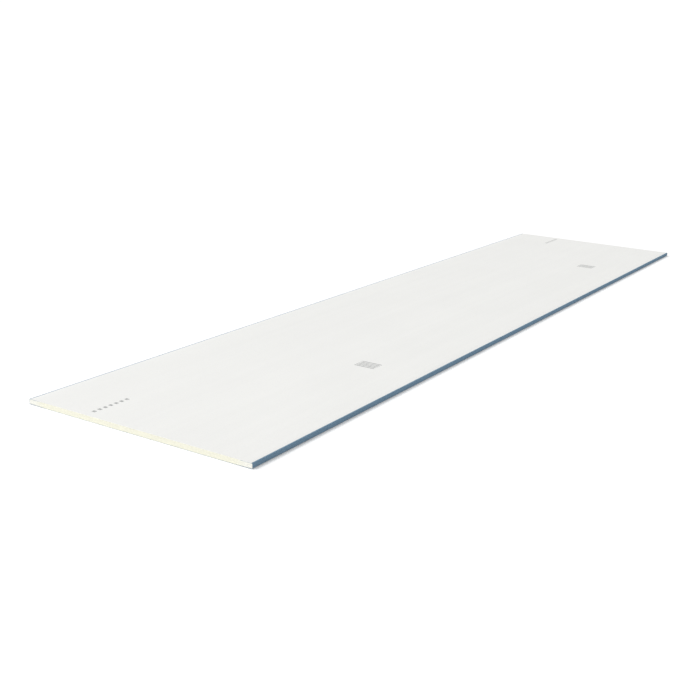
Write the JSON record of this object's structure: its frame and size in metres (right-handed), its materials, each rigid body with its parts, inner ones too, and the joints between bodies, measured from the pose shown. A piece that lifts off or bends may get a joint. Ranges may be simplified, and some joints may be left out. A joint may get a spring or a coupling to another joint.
{
  "type": "drywall sheet",
  "caption": "Flat rectangular drywall sheet: a gypsum core between papers, with square sawn ends and tapered long edges, for lining walls and ceilings.",
  "frame": {"origin": "middle of the face, on the surface that the sheet lies on", "axes": "+X across the width, +Y along the length, +Z from the face up to the back"},
  "size_m": [0.6, 2.6, 0.0125],
  "materials": {
    "gypsum": "matte, sawn",
    "face_paper": "matte",
    "back_paper": "matte"
  },
  "bodies": {
    "root": {"gypsum_core": "gypsum", "face_paper": "face_paper", "back_paper": "back_paper"}
  },
  "joints": []
}
